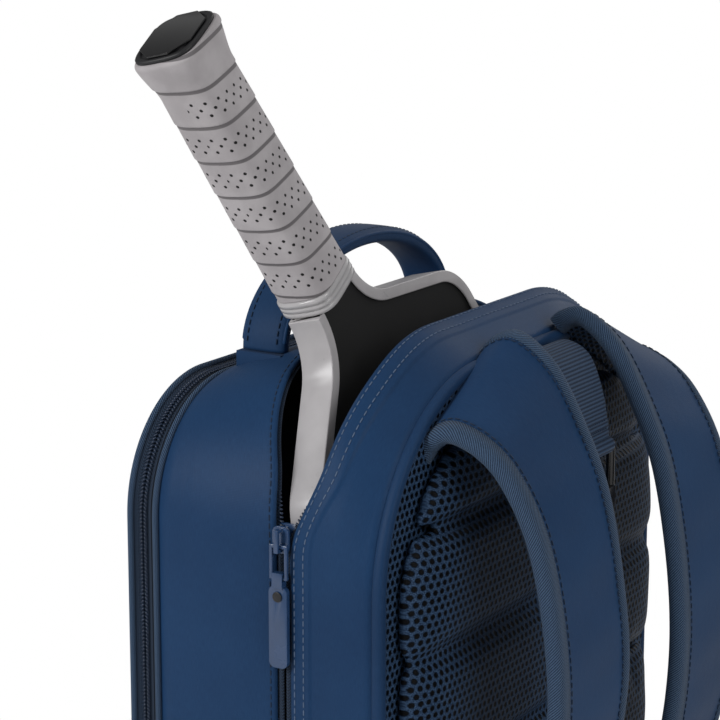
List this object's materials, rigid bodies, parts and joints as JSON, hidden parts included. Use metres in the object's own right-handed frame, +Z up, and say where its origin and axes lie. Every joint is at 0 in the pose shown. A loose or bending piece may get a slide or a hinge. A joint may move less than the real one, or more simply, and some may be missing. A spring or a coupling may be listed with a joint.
{
  "type": "racket backpack",
  "caption": "Upright padded backpack for racket sports, with a carry handle, mesh straps, zipped pockets and a paddle leaning out of its open top.",
  "frame": {"origin": "middle of the base on the floor it stands on", "axes": "+Z up, front pockets towards -Y, padded back and shoulder straps towards +Y, +X to the right seen from the front"},
  "size_m": [0.3515, 0.2377, 0.625],
  "materials": {
    "shell_fabric": "smooth coated weave",
    "lining": "matte",
    "binding": "ribbed",
    "mesh_foam": "spacer mesh",
    "handle_fabric": "smooth, padded",
    "webbing": "ribbed",
    "buckle": "satin",
    "hook_metal": "satin black",
    "zip_teeth": "matte",
    "slider_metal": "gloss",
    "pull_tab": "gloss",
    "rivet": "gloss black",
    "paddle_core": "matte",
    "paddle_face": "fine texture",
    "edge_guard": "satin",
    "grip": "perforated wrap",
    "collar": "gloss",
    "butt_cap": "matte"
  },
  "bodies": {
    "bag": {"front_shell": "shell_fabric", "rear_shell": "shell_fabric", "base_panel": "shell_fabric", "front_panel": "shell_fabric", "front_pocket": "shell_fabric", "front_gusset": "shell_fabric", "side_pocket_right": "shell_fabric", "side_pocket_left": "shell_fabric", "handle_anchor_right": "shell_fabric", "handle_anchor_left": "shell_fabric", "front_divider": "lining", "back_board": "lining", "racket_sleeve": "lining", "back_seam_binding": "binding", "strap_anchor_right": "binding", "strap_anchor_left": "binding", "back_pads": "mesh_foam", "shoulder_strap_right": "mesh_foam", "shoulder_strap_left": "mesh_foam", "hook_webbing": "webbing", "strap_webbing_right": "webbing", "strap_webbing_left": "webbing", "ladder_lock_right": "buckle", "ladder_lock_left": "buckle", "main_zip_teeth_right": "zip_teeth", "main_zip_teeth_left": "zip_teeth", "front_zip_teeth": "zip_teeth", "pocket_zip_teeth": "zip_teeth"},
    "carry_handle": {"carry_handle": "handle_fabric"},
    "fence_hook": {"fence_hook": "hook_metal"},
    "paddle": {"paddle_core": "paddle_core", "paddle_face_front": "paddle_face", "paddle_face_back": "paddle_face", "paddle_edge_guard": "edge_guard", "paddle_grip": "grip", "paddle_collar": "collar", "paddle_butt_cap": "butt_cap", "paddle_butt_insert": "butt_cap"},
    "main_right_slider": {"main_right_slider": "slider_metal"},
    "main_right_link": {"main_right_pull_link": "slider_metal"},
    "main_right_tab": {"main_right_pull_tab": "pull_tab", "main_right_tab_rivet": "rivet"},
    "main_left_slider": {"main_left_slider": "slider_metal"},
    "main_left_link": {"main_left_pull_link": "slider_metal"},
    "main_left_tab": {"main_left_pull_tab": "pull_tab", "main_left_tab_rivet": "rivet"},
    "front_slider": {"front_slider": "slider_metal"},
    "front_link": {"front_pull_link": "slider_metal"},
    "front_tab": {"front_pull_tab": "pull_tab", "front_tab_rivet": "rivet"},
    "pocket_slider": {"pocket_slider": "slider_metal"},
    "pocket_link": {"pocket_pull_link": "slider_metal"},
    "pocket_tab": {"pocket_pull_tab": "pull_tab", "pocket_tab_rivet": "rivet"}
  },
  "joints": [
    {"name": "main_right_zip_travel", "type": "slide", "parent": "bag", "child": "main_right_slider", "axis": [0, 0, 1], "range_m": [-0.15, 0]},
    {"name": "main_right_link_swing", "type": "hinge", "parent": "main_right_slider", "child": "main_right_link", "pos_m": [0.1464, 0.014, 0.3773], "axis": [0, -1, 0], "range_deg": [0, 120]},
    {"name": "main_right_tab_swing", "type": "hinge", "parent": "main_right_link", "child": "main_right_tab", "pos_m": [0.1464, 0.014, 0.362], "axis": [0, -1, 0], "range_deg": [0, 60]},
    {"name": "main_left_zip_travel", "type": "slide", "parent": "bag", "child": "main_left_slider", "axis": [0, 0, 1], "range_m": [-0.15, 0]},
    {"name": "main_left_link_swing", "type": "hinge", "parent": "main_left_slider", "child": "main_left_link", "pos_m": [-0.1464, 0.014, 0.3773], "axis": [0, 1, 0], "range_deg": [0, 120]},
    {"name": "main_left_tab_swing", "type": "hinge", "parent": "main_left_link", "child": "main_left_tab", "pos_m": [-0.1464, 0.014, 0.362], "axis": [0, 1, 0], "range_deg": [0, 60]},
    {"name": "front_zip_travel", "type": "slide", "parent": "bag", "child": "front_slider", "axis": [0, 0, 1], "range_m": [-0.25, 0.04]},
    {"name": "front_link_swing", "type": "hinge", "parent": "front_slider", "child": "front_link", "pos_m": [-0.1464, -0.068, 0.3273], "axis": [0, 1, 0], "range_deg": [0, 120]},
    {"name": "front_tab_swing", "type": "hinge", "parent": "front_link", "child": "front_tab", "pos_m": [-0.1464, -0.068, 0.312], "axis": [0, 1, 0], "range_deg": [0, 60]},
    {"name": "pocket_zip_travel", "type": "slide", "parent": "bag", "child": "pocket_slider", "axis": [0, 0, 1], "range_m": [-0.205, 0]},
    {"name": "pocket_link_swing", "type": "hinge", "parent": "pocket_slider", "child": "pocket_link", "pos_m": [0.062, -0.0934, 0.3413], "axis": [-1, 0, 0], "range_deg": [0, 120]},
    {"name": "pocket_tab_swing", "type": "hinge", "parent": "pocket_link", "child": "pocket_tab", "pos_m": [0.062, -0.0934, 0.326], "axis": [-1, 0, 0], "range_deg": [0, 60]},
    {"name": "carry_handle_tilt", "type": "hinge", "parent": "bag", "child": "carry_handle", "pos_m": [0, -0.051, 0.4522], "axis": [1, 0, 0], "range_deg": [0, 60]},
    {"name": "fence_hook_swing", "type": "hinge", "parent": "bag", "child": "fence_hook", "pos_m": [0, 0.1025, 0.402], "axis": [1, 0, 0], "range_deg": [-15, 30]},
    {"name": "paddle_lift", "type": "slide", "parent": "bag", "child": "paddle", "axis": [0, -0.225, 0.9744], "range_m": [0, 0.25]}
  ]
}
